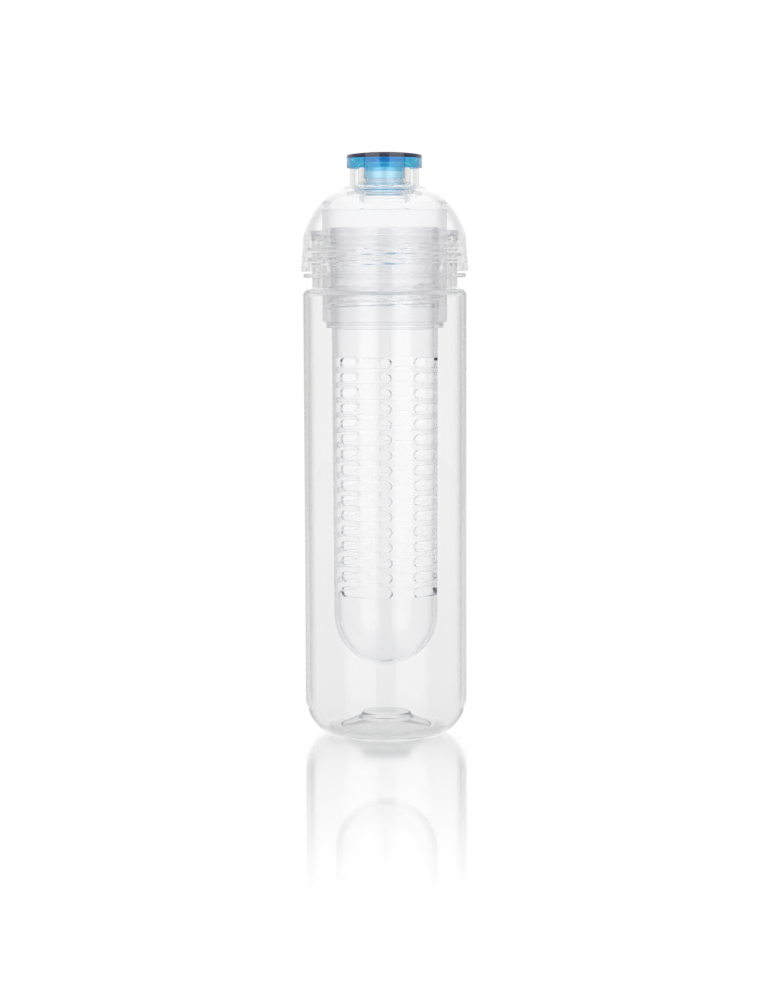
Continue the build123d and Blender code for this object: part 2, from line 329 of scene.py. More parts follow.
basket_radius = sleeve_bore_radius - basket_thread_depth - basket_thread_clearance
basket_shoulder_radius = basket_radius - basket_shoulder_step
basket_tip_radius = basket_shoulder_radius - basket_taper
basket_flange_radius = sleeve_bore_radius + basket_flange_lap
basket_flange_top = sleeve_bottom - infuser_gasket_thickness
basket_flange_bottom = basket_flange_top - basket_flange_thickness
basket_top = sleeve_top - basket_top_gap
basket_centre = punt_top + base_wall + basket_floor_gap + basket_tip_radius
basket_inner_radius = basket_tip_radius - basket_wall
basket_inner_bottom = basket_centre - basket_inner_radius
basket_thread_start = basket_flange_top + basket_thread_rise
sleeve_thread_start = basket_thread_start + thread_pitch / 2
tip_angle = math.degrees(math.asin(tip_flat_radius / basket_tip_radius))
tip_height = basket_centre - math.sqrt(basket_tip_radius**2 - tip_flat_radius**2)
slot_width = 2 * basket_tip_radius * math.sin(math.radians(slot_angle / 2))
slot_first = basket_centre + slot_first_rise
slot_room = basket_flange_bottom - slot_last_drop - slot_first
slot_rows = math.floor(slot_room / slot_pitch) + 1

cap_bore_radius = mouthpiece_radius + cap_fit
cap_radius = cap_bore_radius + cap_skirt_wall
cap_edge_top = mouthpiece_top + cap_edge_thickness
plug_radius = spout_bore_radius - plug_clearance
plug_bottom = mouthpiece_top - plug_length
seal_inner_radius = plug_radius - seal_groove_depth
seal_bottom = plug_bottom + seal_rise


# Outlines: lists of (radius, height), drawn from one end to the other
def arc(centre, width, height, start, end, steps):
    """Points of a round or oval arc, angles in degrees from +radius towards +height."""
    points = []
    for n in range(steps + 1):
        angle = math.radians(start + (end - start) * n / steps)
        points.append((centre[0] + width * math.cos(angle), centre[1] + height * math.sin(angle)))
    return points


def rounded(corner, before, after, radius):
    """Points that round a corner between its two neighbours with an arc of that radius."""
    corner = Vector(corner)
    towards_before = (Vector(before) - corner).normalized()
    towards_after = (Vector(after) - corner).normalized()
    half_angle = towards_before.angle(towards_after) / 2
    reach = radius / math.tan(half_angle)
    centre = corner + (towards_before + towards_after).normalized() * radius / math.sin(half_angle)
    start = corner + towards_before * reach - centre
    end = corner + towards_after * reach - centre
    points = []
    for n in range(rounding_steps + 1):
        spoke = start.lerp(end, n / rounding_steps).normalized() * radius
        points.append(tuple(centre + spoke))
    return points


def outline(corners):
    """An outline from (radius, height) or (radius, height, rounding) corners."""
    points = []
    for n, corner in enumerate(corners):
        inner = 0 < n < len(corners) - 1
        if len(corner) == 3 and corner[2] > 0 and inner:
            points += rounded(corner[:2], corners[n - 1][:2], corners[n + 1][:2], corner[2])
        else:
            points.append(tuple(corner[:2]))
    return points


def rows(radius, start, end):
    """Points up or down a wall, close enough together to carry a thread."""
    steps = max(1, round(abs(end - start) / thread_row))
    return [(radius, start + (end - start) * n / steps) for n in range(steps + 1)]


def circle_through(a, b, c):
    """Centre and radius of the circle through three points."""
    ax, ay = b[0] - a[0], b[1] - a[1]
    bx, by = c[0] - a[0], c[1] - a[1]
    cross = 2 * (ax * by - ay * bx)
    ux = (by * (ax**2 + ay**2) - ay * (bx**2 + by**2)) / cross
    uy = (ax * (bx**2 + by**2) - bx * (ax**2 + ay**2)) / cross
    return (a[0] + ux, a[1] + uy), math.hypot(ux, uy)


def dome_arcs(start, end):
    """The dome's outline as two arcs that meet smoothly, from start up to end."""
    width = start[0] - end[0]
    rise = end[1] - start[1]

    def between(share):
        return start[0] - width * share[0], start[1] + rise * share[1]

    shoulder = between(dome_shoulder_share)
    knee = between(dome_knee_share)
    centre, radius = circle_through(start, shoulder, knee)
    start_angle = math.degrees(math.atan2(start[1] - centre[1], start[0] - centre[0]))
    knee_angle = math.degrees(math.atan2(knee[1] - centre[1], knee[0] - centre[0]))
    lower = arc(centre, radius, radius, start_angle, knee_angle, dome_arc_steps)
    # The upper arc leaves the knee along the lower arc's radius, so its centre lies on it
    inward = Vector((centre[0] - knee[0], centre[1] - knee[1])).normalized()
    chord = Vector((end[0] - knee[0], end[1] - knee[1]))
    upper_radius = chord.length_squared / (2 * inward.dot(chord))
    upper_centre = Vector(knee) + inward * upper_radius
    from_angle = math.degrees(math.atan2(knee[1] - upper_centre.y, knee[0] - upper_centre.x))
    to_angle = math.degrees(math.atan2(end[1] - upper_centre.y, end[0] - upper_centre.x))
    upper = arc(upper_centre, upper_radius, upper_radius, from_angle, to_angle, dome_arc_steps)
    return lower + upper[1:]


def thread(wall_radius, start, turns, depth, early_turns=0.0):
    """How far a thread moves the points of its wall: outward, or inward with a negative depth."""
    slope = (thread_root_width - thread_crest_width) / 2

    def bulge(angle, radius, z):
        if abs(radius - wall_radius) > wall_tolerance:
            return 0.0
        along = (z - start) / thread_pitch
        turn = angle / (2 * math.pi)
        lap = round(along - turn)
        place = lap + turn
        if place < -early_turns or place > turns - early_turns:
            return 0.0
        away = abs(along - place) * thread_pitch
        rib = min(1.0, max(0.0, (thread_root_width / 2 - away) / slope))
        ends = min(place + early_turns, turns - early_turns - place) / thread_fade_turns
        return depth * rib * min(1.0, ends)

    return bulge


# Meshes
def mesh_object(name, vertices, faces):
    """An object from millimetre vertices, its doubled points joined and its edges marked."""
    mesh = bpy.data.meshes.new(name)
    mesh.from_pydata([(x * MM, y * MM, z * MM) for x, y, z in vertices], [], faces)
    piece = bpy.data.objects.new(name, mesh)
    bpy.context.scene.collection.objects.link(piece)
    tidy_mesh(mesh)
    return piece


def tidy_mesh(mesh):
    """Joins doubled points, turns all faces outward and marks the sharp edges."""
    work = bmesh.new()
    work.from_mesh(mesh)
    bmesh.ops.remove_doubles(work, verts=work.verts, dist=join_distance)
    bmesh.ops.recalc_face_normals(work, faces=work.faces)
    for face in work.faces:
        face.smooth = True
    for edge in work.edges:
        edge.smooth = len(edge.link_faces) == 2 and edge.calc_face_angle() < sharp_angle
    work.to_mesh(mesh)
    work.free()


def turned_faces(vertices, faces, points, segments, turn=0.0, bulge=None, lift=None):
    """Adds the surface that the points sweep round +Z. Points on the axis become poles."""
    rings = []
    for radius, z in points:
        first = len(vertices)
        if radius < pole_radius:
            vertices.append((0.0, 0.0, z + (lift(0.0, z) if lift else 0.0)))
            rings.append([first])
            continue
        for n in range(segments):
            angle = math.radians(turn) + 2 * math.pi * n / segments
            reach = radius + (bulge(angle % (2 * math.pi), radius, z) if bulge else 0.0)
            x, y = reach * math.cos(angle), reach * math.sin(angle)
            vertices.append((x, y, z + (lift(x, z) if lift else 0.0)))
        rings.append(list(range(first, first + segments)))
    for lower, upper in zip(rings, rings[1:]):
        if len(lower) == 1 and len(upper) == 1:
            continue
        for n in range(segments):
            after = (n + 1) % segments
            if len(lower) == 1:
                faces.append((lower[0], upper[after], upper[n]))
            elif len(upper) == 1:
                faces.append((lower[n], lower[after], upper[0]))
            else:
                faces.append((lower[n], lower[after], upper[after], upper[n]))


def turned_piece(name, points, bulge=None, lift=None):
    """A closed piece turned from an outline. An outline off the axis is closed up."""
    if points[0][0] > pole_radius:
        points = points + [points[0]]
    vertices = []
    faces = []
    turned_faces(vertices, faces, points, round_segments, bulge=bulge, lift=lift)
    return mesh_object(name, vertices, faces)


# Bottle body
def make_bottle_body():
    shoulder_centre = (body_radius - shoulder_round, body_straight_top)
    neck_centre = (neck_radius + neck_fillet, neck_bottom)
    inner_corner = bore_radius - base_corner_width
    support_top = support_height + support_thickness
    points = outline([
        (0, punt_top),
        (punt_step_radius, punt_top, edge_round * 2),
        (punt_radius, punt_rise, edge_round * 2),
        (foot_inner, 0, edge_round * 4),
        (foot_outer, 0),
    ])
    points += arc(
        (foot_outer, base_corner_height),
        base_corner_width,
        base_corner_height,
        -90,
        0,
        base_corner_steps,
    )[1:]
    points += arc(shoulder_centre, shoulder_round, shoulder_round, 0, 90, shoulder_steps)
    points += arc(neck_centre, neck_fillet, neck_fillet, 270, 180, neck_fillet_steps)[1:]
    points += outline([
        (neck_radius, neck_bottom),
        (neck_radius, support_height, edge_round),
        (support_radius, support_height, support_round),
        (support_radius, support_top, support_round),
        (neck_radius, support_top, edge_round),
        (neck_radius, support_top + wall_margin),
    ])[1:]
    points += rows(neck_radius, support_top + wall_margin, mouth_height - wall_margin)[1:]
    points += outline([
        (neck_radius, mouth_height - wall_margin),
        (neck_radius, mouth_height, mouth_lip_round),
        (mouth_radius, mouth_height, mouth_lip_round),
        (mouth_radius, neck_bottom),
    ])[1:]
    reach = neck_fillet + neck_wall
    points += arc(neck_centre, reach, reach, 180, 270, inner_neck_steps)[1:]
    points += arc(
        shoulder_centre,
        shoulder_round - body_wall,
        shoulder_round - neck_wall,
        90,
        0,
        inner_shoulder_steps,
    )[1:]
    points += arc(
        (inner_corner, base_corner_height),
        base_corner_width,
        base_corner_height - base_wall,
        0,
        -90,
        base_corner_steps,
    )
    points += outline([
        (inner_corner, base_wall),
        (foot_inner, base_wall, edge_round / 2),
        (punt_radius, punt_rise + base_wall, edge_round * 2),
        (punt_step_radius, punt_top + base_wall, edge_round * 2),
        (0, punt_top + base_wall),
    ])[1:]
    bulge = thread(neck_radius, neck_thread_start, neck_thread_turns, neck_thread_depth)
    return turned_piece("bottle_body_clear", points, bulge=bulge)


# Lid dome
def make_lid_dome():
    groove_outer = mouthpiece_radius + groove_clearance
    groove_inner = mouthpiece_bore - groove_clearance
    seat_outer = sleeve_radius + sleeve_seat_margin
    outer = dome_arcs((dome_radius, dome_height), (dome_top_radius, dome_top_height))
    inner = dome_arcs((dome_inner_radius, dome_height), (dome_top_radius, dome_inner_top))
    skirt_turn = rounded(
        (dome_radius, dome_height), (lid_rim_radius, lid_rim_height), outer[skirt_join], skirt_blend
    )
    points = [(lid_bore_radius, lid_rim_height + edge_round)]
    points += outline([
        (lid_bore_radius, lid_rim_height + wall_margin),
        (lid_bore_radius, lid_rim_height, edge_round),
        (lid_rim_radius, lid_rim_height, edge_round),
        (lid_rim_radius, lid_rim_height + wall_margin),
    ])[1:-1]
    points += skirt_turn
    points += outer[skirt_join:-1]
    points += outline([
        outer[-2],
        (dome_top_radius, dome_top_height, edge_round),
        (groove_outer, dome_top_height + groove_lip_rise, edge_round),
        (groove_outer, mouthpiece_bottom),
        (groove_inner, mouthpiece_bottom, edge_round),
        (spout_tube_radius, mouthpiece_bottom + spout_cone_rise, edge_round * 2),
        (spout_tube_radius, spout_tube_top, edge_round * 2),
        (spout_bore_radius, spout_tube_top, edge_round * 2),
        (spout_bore_radius, drain_tube_bottom, edge_round * 2),
        (drain_tube_radius, drain_tube_bottom, edge_round * 2),
        (drain_tube_radius, hub_bottom, edge_round * 2),
        (hub_radius, hub_bottom, edge_round * 2),
        (hub_radius, height_on(inner, hub_radius), edge_round * 2),
        inner[-hub_join],
    ])[1:-1]
    # The dome's underside, from the hub out to the sleeve's seat and on to the skirt
    underside = list(reversed(inner))
    hub_edge = hub_radius + hub_margin_inside
    bore_edge = sleeve_bore_radius - bore_margin_inside
    points += [point for point in underside if hub_edge < point[0] < bore_edge]
    points += outline([
        (sleeve_bore_radius, height_on(inner, sleeve_bore_radius)),
        (sleeve_bore_radius, sleeve_top, edge_round),
        (seat_outer, sleeve_top, edge_round),
        (seat_outer, height_on(inner, seat_outer)),
    ])
    points += [point for point in underside if point[0] > seat_outer + seat_margin_inside]
    points += rows(lid_bore_radius, lid_bore_top, lid_rim_height + wall_margin)
    bulge = thread(
        lid_bore_radius,
        lid_thread_start,
        lid_thread_turns,
        -neck_thread_depth,
        inner_thread_early_share,
    )
    dome = turned_piece("lid_dome_clear", points, bulge=bulge)
    for n in range(fin_count):
        add_fin(dome, 2 * math.pi * n / fin_count)
    tidy_mesh(dome.data)
    return dome


def height_on(points, radius):
    """The height at which an outline that narrows upwards has a radius."""
    for lower, upper in zip(points, points[1:]):
        if upper[0] <= radius <= lower[0]:
            share = (lower[0] - radius) / (lower[0] - upper[0])
            return lower[1] + (upper[1] - lower[1]) * share
    return points[-1][1]


def add_fin(dome, angle):
    """Joins one grip fin to the dome's rim."""
    root = lid_rim_radius - fin_root
    half = fin_width / 2
    half_tip = fin_tip_width / 2
    foot_reach = root + fin_root + fin_reach
    tip_reach = root + fin_root * fin_tip_share
    bottom = [(root, -half), (foot_reach, -half), (foot_reach, half), (root, half)]
    top = [(root, -half_tip), (tip_reach, -half_tip), (tip_reach, half_tip), (root, half_tip)]
    vertices = []
    for ring, z in ((bottom, lid_rim_height), (top, lid_rim_height + fin_height)):
        for x, y in ring:
            turned_x = x * math.cos(angle) - y * math.sin(angle)
            turned_y = x * math.sin(angle) + y * math.cos(angle)
            vertices.append((turned_x, turned_y, z))
    faces = [(0, 1, 2, 3), (4, 5, 6, 7)]
    faces += [(n, (n + 1) % 4, (n + 1) % 4 + 4, n + 4) for n in range(4)]
    fin = mesh_object("fin", vertices, faces)
    join = dome.modifiers.new("fin", "BOOLEAN")
    join.operation = "UNION"
    join.solver = "EXACT"
    join.object = fin
    apply_modifiers(dome)
    bpy.data.objects.remove(fin)


def apply_modifiers(piece):
    """Replaces a piece's mesh with what its modifiers make of it."""
    depsgraph = bpy.context.evaluated_depsgraph_get()
    made = bpy.data.meshes.new_from_object(piece.evaluated_get(depsgraph))
    piece.modifiers.clear()
    piece.data = made


# Mouthpiece
def make_mouthpiece():
    lip_inner = mouthpiece_radius - mouthpiece_lip_width
    points = outline([
        (mouthpiece_bore, mouthpiece_bottom + wall_margin),
        (mouthpiece_bore, mouthpiece_bottom + hairline, edge_round),
        (mouthpiece_radius, mouthpiece_bottom + hairline, edge_round),
        (mouthpiece_radius, mouthpiece_top - hairline, mouthpiece_round),
        (lip_inner, mouthpiece_top - hairline, mouthpiece_round),
        (lip_inner, mouthpiece_lip_bottom, edge_round),
        (mouthpiece_bore, mouthpiece_lip_bottom, edge_round),
        (mouthpiece_bore, mouthpiece_bottom + wall_margin * 2),
    ])
    return turned_piece("mouthpiece_clear", points)


# Infuser sleeve
def make_infuser_sleeve():
    thread_bottom = sleeve_bottom + wall_margin
    thread_top = basket_thread_start + (basket_thread_turns + 1) * thread_pitch
    points = outline([
        (sleeve_bore_radius, thread_bottom),
        (sleeve_bore_radius, sleeve_bottom, edge_round),
        (sleeve_radius, sleeve_bottom, sleeve_corner_round),
        (sleeve_radius, sleeve_flange_bottom, edge_round),
        (sleeve_flange_radius, sleeve_flange_bottom + hairline, edge_round * 2),
        (sleeve_flange_radius, sleeve_flange_top, edge_round * 2),
        (sleeve_radius, sleeve_flange_top, edge_round * 2),
        (sleeve_radius, sleeve_top - hairline, edge_round),
        (sleeve_bore_radius, sleeve_top - hairline, edge_round),
        (sleeve_bore_radius, thread_top),
    ])
    points += rows(sleeve_bore_radius, thread_top, thread_bottom)[1:]
    bulge = thread(
        sleeve_bore_radius,
        sleeve_thread_start,
        sleeve_thread_turns,
        -basket_thread_depth,
        inner_thread_early_share,
    )
    return turned_piece("infuser_sleeve_hazy", points, bulge=bulge)


# Gaskets
def make_ring(name, inner, outer, bottom, top, rounding):
    """A flat soft ring with rounded edges."""
    middle = (bottom + top) / 2
    points = outline([
        (inner, middle),
        (inner, bottom, rounding),
        (outer, bottom, rounding),
        (outer, top, rounding),
        (inner, top, rounding),
        (inner, middle),
    ])[:-1]
    return turned_piece(name, points)


def make_lid_gasket():
    return make_ring(
        "lid_gasket_soft",
        sleeve_radius + gasket_clearance,
        lid_gasket_radius,
        mouth_height + hairline,
        mouth_height + lid_gasket_thickness - hairline,
        edge_round * 2,
    )


def make_infuser_gasket():
    return make_ring(
        "infuser_gasket_soft",
        basket_radius + gasket_clearance,
        basket_flange_radius,
        basket_flange_top + hairline,
        sleeve_bottom - hairline,
        edge_round,
    )


# Infuser basket
def basket_outer(z):
    """Radius of the basket's outer wall at a height."""
    share = (z - basket_centre) / (basket_flange_bottom - basket_centre)
    return basket_tip_radius + basket_taper * share


def basket_inner(z):
    """Radius of the basket's inner wall at a height."""
    share = (z - basket_centre) / (basket_top - basket_centre)
    return basket_inner_radius + (basket_radius - basket_wall - basket_inner_radius) * share


def slot_outline(grown, across, around):
    """Points round a slot as (sideways, up), from its top left corner to the right."""
    half_height = slot_height / 2 + grown
    straight = (slot_width - slot_height) / 2
    points = []
    for n in range(across):
        points.append((-straight + 2 * straight * n / across, half_height))
    for n in range(around):
        angle = math.radians(90 - 180 * n / around)
        points.append((straight + half_height * math.cos(angle), half_height * math.sin(angle)))
    return points + [(-x, -up) for x, up in points]


def cell_outline(across, around):
    """Points round a slot's cell as (angle, up), matching those of the slot's outline."""
    half_turn = math.pi / slot_columns
    half_height = slot_pitch / 2
    points = []
    for n in range(across):
        points.append((-half_turn + 2 * half_turn * n / across, half_height))
    for n in range(around):
        points.append((half_turn, half_height - slot_pitch * n / around))
    return points + [(-angle, -up) for angle, up in points]


def slot_cell(vertices, faces, column_angle, middle, across, around):
    """Adds one cell of the basket's wall with its slot, as closed loops of points."""
    exact = slot_outline(0.0, across, around)
    grown = slot_outline(edge_round, across, around)
    cell = cell_outline(across, around)

    def on_wall(side, up, radius_at, sink=0.0):
        radius = radius_at(middle + up) + sink
        return math.asin(side / radius), up, radius

    def spread(radius_at):
        loops = []
        for step in range(slot_spread_steps):
            share = step / slot_spread_steps
            loop = []
            for (side, up), (cell_angle, cell_up) in zip(grown, cell):
                angle = on_wall(side, up, radius_at)[0]
                mixed_up = up * share + cell_up * (1 - share)
                mixed_angle = angle * share + cell_angle * (1 - share)
                loop.append((mixed_angle, mixed_up, radius_at(middle + mixed_up)))
            loops.append(loop)
        return loops

    loops = spread(basket_outer)
    loops.append([on_wall(side, up, basket_outer) for side, up in grown])
    loops.append([on_wall(side, up, basket_outer, -edge_round) for side, up in exact])
    loops.append([on_wall(side, up, basket_inner, edge_round) for side, up in exact])
    loops.append([on_wall(side, up, basket_inner) for side, up in grown])
    loops += reversed(spread(basket_inner))
    for index, loop in enumerate(loops):
        first = len(vertices)
        for angle, up, radius in loop:
            turned = column_angle + angle
            vertices.append((radius * math.cos(turned), radius * math.sin(turned), middle + up))
        if index:
            count = len(loop)
            for n in range(count):
                after = (n + 1) % count
                faces.append((first - count + n, first - count + after, first + after, first + n))


def make_infuser_basket():
    across = basket_segments // slot_columns
    around = slot_end_steps
    slots_bottom = slot_first - slot_pitch / 2
    slots_top = slots_bottom + slot_rows * slot_pitch
    thread_bottom = basket_flange_top + wall_margin
    thread_top = basket_thread_start + (basket_thread_turns + 1) * thread_pitch
    lower = [(0, tip_height), (tip_flat_radius - edge_round, tip_height)]
    lower += arc(
        (0, basket_centre),
        basket_tip_radius,
        basket_tip_radius,
        tip_angle + tip_start_angle,
        0,
        tip_steps,
    )
    lower.append((basket_outer(slots_bottom), slots_bottom))
    upper = outline([
        (basket_outer(slots_top), slots_top),
        (basket_shoulder_radius, basket_flange_bottom, edge_round),
        (basket_flange_radius, basket_flange_bottom, edge_round * 2),
        (basket_flange_radius, basket_flange_top - hairline, edge_round),
        (basket_radius, basket_flange_top - hairline, edge_round),
        (basket_radius, thread_bottom),
    ])
    upper += rows(basket_radius, thread_bottom, thread_top)[1:]
    upper += outline([
        (basket_radius, thread_top),
        (basket_radius, basket_top, edge_round * 2),
        (basket_radius - basket_wall, basket_top, edge_round * 2),
        (basket_inner(slots_top), slots_top),
    ])[1:]
    inside = [(basket_inner(slots_bottom), slots_bottom)]
    inside += arc(
        (0, basket_centre),
        basket_inner_radius,
        basket_inner_radius,
        0,
        inner_tip_end_angle,
        inner_tip_steps,
    )
    pip_base = basket_centre - math.sqrt(basket_inner_radius**2 - gate_pip_radius**2)
    pip_top = basket_inner_bottom + gate_pip_height
    inside += outline([
        inside[-1],
        (gate_pip_radius, pip_base, edge_round / 2),
        (gate_pip_radius - edge_round, pip_top, edge_round / 2),
        (0, pip_top),
    ])[1:]
    bulge = thread(basket_radius, basket_thread_start, basket_thread_turns, basket_thread_depth)
    vertices = []
    faces = []
    for points in (lower, upper, inside):
        turned_faces(vertices, faces, points, basket_segments, rib_turn, bulge)
    for column in range(slot_columns):
        column_angle = math.radians(rib_turn + (column + 0.5) * 360 / slot_columns)
        for row in range(slot_rows):
            middle = slot_first + row * slot_pitch
            slot_cell(vertices, faces, column_angle, middle, across, around)
    return mesh_object("infuser_basket_clear", vertices, faces)


# Stopper
def make_stopper_cap():
    arch_radius = (cap_radius**2 + cap_crown_rise**2) / (2 * cap_crown_rise)
    crown = [(cap_radius * (1 - n / crown_rings), cap_edge_top) for n in range(1, crown_rings + 1)]
    points = outline([
        (0, mouthpiece_top),
        (cap_bore_radius, mouthpiece_top, edge_round),
        (cap_bore_radius, mouthpiece_top - cap_skirt_length, edge_round),
        (cap_radius, mouthpiece_top - cap_skirt_length, edge_round),
        (cap_radius, cap_edge_top, edge_round),
        *crown,
    ])

    def lift(x, z):
        arch = math.sqrt(arch_radius**2 - x**2) - (arch_radius - cap_crown_rise)
        return arch if z > cap_edge_top - edge_round * 1.5 else 0.0

    return turned_piece("stopper_cap_blue", points, lift=lift)


def make_stopper_plug():
    top = mouthpiece_top - hairline
    seal_top = seal_bottom + seal_thickness
    points = outline([
        (0, top),
        (plug_radius, top, edge_round),
        (plug_radius, seal_top, edge_round / 2),
        (seal_inner_radius, seal_top, edge_round / 2),
        (seal_inner_radius, seal_bottom, edge_round / 2),
        (plug_radius, seal_bottom, edge_round / 2),
        (plug_radius, plug_bottom, edge_round * 2),
        (plug_radius - plug_wall, plug_bottom, edge_round * 2),
        (plug_radius - plug_wall, mouthpiece_top - plug_wall, edge_round * 2),
        (0, mouthpiece_top - plug_wall),
    ])
    return turned_piece("stopper_plug_pale", points)


def make_stopper_seal():
    return make_ring(
        "stopper_seal_soft",
        seal_inner_radius + hairline,
        spout_bore_radius - seal_fit,
        seal_bottom + hairline,
        seal_bottom + seal_thickness - hairline,
        edge_round * 3,
    )


# Small steps of the materials, shared by the plastics, the floor and the room
def feed(tree, socket, value):
    """Sets a socket to a number, or links a node's value to it."""
    if isinstance(value, float):
        socket.default_value = value
    else:
        tree.links.new(value, socket)


def smooth_rise(tree, value, low, high, span):
    """A number that goes smoothly from low to high while the value runs through its span."""
    rise = tree.nodes.new("ShaderNodeMapRange")
    rise.interpolation_type = "SMOOTHSTEP"
    rise.inputs["From Min"].default_value = span[0]
    rise.inputs["From Max"].default_value = span[1]
    rise.inputs["To Min"].default_value = low
    rise.inputs["To Max"].default_value = high
    tree.links.new(value, rise.inputs["Value"])
    return rise.outputs["Result"]


def multiply(tree, first, second):
    """The product of two node values."""
    product = tree.nodes.new("ShaderNodeMath")
    product.operation = "MULTIPLY"
    tree.links.new(first, product.inputs[0])
    tree.links.new(second, product.inputs[1])
    return product.outputs[0]


def without_sign(tree, value):
    """How large a node value is, whatever its sign."""
    size = tree.nodes.new("ShaderNodeMath")
    size.operation = "ABSOLUTE"
    tree.links.new(value, size.inputs[0])
    return size.outputs[0]


def split_axes(tree, vector):
    """The X, Y and Z of a vector, by name."""
    split = tree.nodes.new("ShaderNodeSeparateXYZ")
    tree.links.new(vector, split.inputs[0])
    return split.outputs


def pick(tree, choice, otherwise, chosen):
    """One value where choice is 0 and the other where it is 1."""
    mix = tree.nodes.new("ShaderNodeMix")
    mix.data_type = "FLOAT"
    tree.links.new(choice, mix.inputs["Factor"])
    feed(tree, mix.inputs["A"], otherwise)
    feed(tree, mix.inputs["B"], chosen)
    return mix.outputs["Result"]


def mix_shaders(tree, share, first, second):
    """The first shader, with a share of the second in it."""
    mix = tree.nodes.new("ShaderNodeMixShader")
    feed(tree, mix.inputs["Fac"], share)
    tree.links.new(first, mix.inputs[1])
    tree.links.new(second, mix.inputs[2])
    return mix.outputs[0]


# Materials
def node_material(name):
    """A node material with its shader, ready for its sockets to be set."""
    material = bpy.data.materials.new(name)
    material.use_nodes = True
    shader = material.node_tree.nodes["Principled BSDF"]
    return material, shader


def add_ripple(tree, shader, ripple, roughness):
    """Faint waves of moulded plastic, and roughness that varies a little with them."""
    size, depth = ripple
    where = tree.nodes.new("ShaderNodeTexCoord")
    noise = tree.nodes.new("ShaderNodeTexNoise")
    noise.inputs["Scale"].default_value = 1 / (size * MM)
    bump = tree.nodes.new("ShaderNodeBump")
    bump.inputs["Distance"].default_value = depth * MM
    spread = tree.nodes.new("ShaderNodeMapRange")
    spread.inputs["To Min"].default_value = roughness[0]
    spread.inputs["To Max"].default_value = roughness[1]
    tree.links.new(where.outputs["Object"], noise.inputs["Vector"])
    tree.links.new(noise.outputs["Fac"], bump.inputs["Height"])
    tree.links.new(bump.outputs["Normal"], shader.inputs["Normal"])
    tree.links.new(noise.outputs["Fac"], spread.inputs["Value"])
    tree.links.new(spread.outputs["Result"], shader.inputs["Roughness"])


def paint_edge_shade(tree, shader, tint, painted_edge_shade, edge_slopes):
    """Paints shade into the base colour where walls turn away from the eye, apart from those that
    lie flat.
    """
    layer = tree.nodes.new("ShaderNodeLayerWeight")
    turned_away = smooth_rise(tree, layer.outputs["Facing"], 0.0, 1.0, edge_range)
    shape = tree.nodes.new("ShaderNodeNewGeometry")
    level = without_sign(tree, split_axes(tree, shape.outputs["True Normal"])["Z"])
    upright = smooth_rise(tree, level, 1.0, 0.0, edge_slopes)
    mix = tree.nodes.new("ShaderNodeMix")
    mix.data_type = "RGBA"
    tree.links.new(multiply(tree, turned_away, upright), mix.inputs["Factor"])
    mix.inputs["A"].default_value = (*tint, 1)
    # The darker colour of the painted edge shade
    mix.inputs["B"].default_value = (*painted_edge_shade, 1)
    tree.links.new(mix.outputs["Result"], shader.inputs["Base Color"])


def clear_plastic(
    name,
    tint,
    ior,
    ripple,
    roughness,
    absorb_colour,
    density,
    coat=0.0,
    # Colour of the painted shade along the edges, and the slopes where it fades
    painted_edge_shade=None,
    edge_slopes=None,
):
    """Plastic that refracts and takes up light inside. The ripple's size and depth are in mm."""
    material, shader = node_material(name)
    tree = material.node_tree
    shader.inputs["Base Color"].default_value = (*tint, 1)
    shader.inputs["Transmission Weight"].default_value = 1.0
    shader.inputs["IOR"].default_value = ior
    shader.inputs["Coat Weight"].default_value = coat
    shader.inputs["Coat IOR"].default_value = coat_ior
    shader.inputs["Coat Roughness"].default_value = coat_roughness
    add_ripple(tree, shader, ripple, roughness)
    absorb = tree.nodes.new("ShaderNodeVolumeAbsorption")
    absorb.inputs["Color"].default_value = (*absorb_colour, 1)
    absorb.inputs["Density"].default_value = density
    tree.links.new(absorb.outputs["Volume"], tree.nodes["Material Output"].inputs["Volume"])
    # Painted shade: the base colour darkens along the walls' edges, where they turn from the eye
    if painted_edge_shade:
        paint_edge_shade(tree, shader, tint, painted_edge_shade, edge_slopes)
    return material


def milky_rubber(name, tint, transmission, ior, ripple, roughness):
    """Soft rubber that lets light through but no picture."""
    material, shader = node_material(name)
    shader.inputs["Base Color"].default_value = (*tint, 1)
    shader.inputs["Transmission Weight"].default_value = transmission
    shader.inputs["IOR"].default_value = ior
    add_ripple(material.node_tree, shader, ripple, roughness)
    return material


clear_body = clear_plastic(
    "clear_body",
    tint=(0.958, 0.958, 0.958),
    ior=1.29,
    ripple=(9, 0.0012),
    roughness=(0.0, 0.012),
    absorb_colour=(0.72, 0.73, 0.74),
    density=14,
    # painted shade: a darker base colour along the body's upright edges
    painted_edge_shade=(0.48, 0.48, 0.47),
    edge_slopes=edge_upright,
)
clear_lid = clear_plastic(
    "clear_lid",
    tint=(0.985, 0.985, 0.987),
    ior=1.17,
    ripple=(7, 0.0012),
    roughness=(0.02, 0.05),
    absorb_colour=(0.75, 0.75, 0.78),
    density=5,
    # painted shade: a darker base colour along the lid's sloping edges
    painted_edge_shade=(0.70, 0.70, 0.72),
    edge_slopes=edge_sloping,
)
clear_basket = clear_plastic(
    "clear_basket",
    tint=(0.988, 0.988, 0.991),
    ior=1.36,
    ripple=(6, 0.0012),
    roughness=(0.0, 0.015),
    absorb_colour=(0.72, 0.72, 0.80),
    density=22,
    # painted shade: a darker base colour along the basket's sloping edges
    painted_edge_shade=(0.58, 0.58, 0.62),
    edge_slopes=edge_sloping,
)
hazy_sleeve = clear_plastic(
    "hazy_sleeve",
    tint=(0.99, 0.99, 0.993),
    ior=1.15,
    ripple=(4, 0.003),
    roughness=(0.14, 0.20),
    absorb_colour=(0.62, 0.62, 0.74),
    density=8,
)
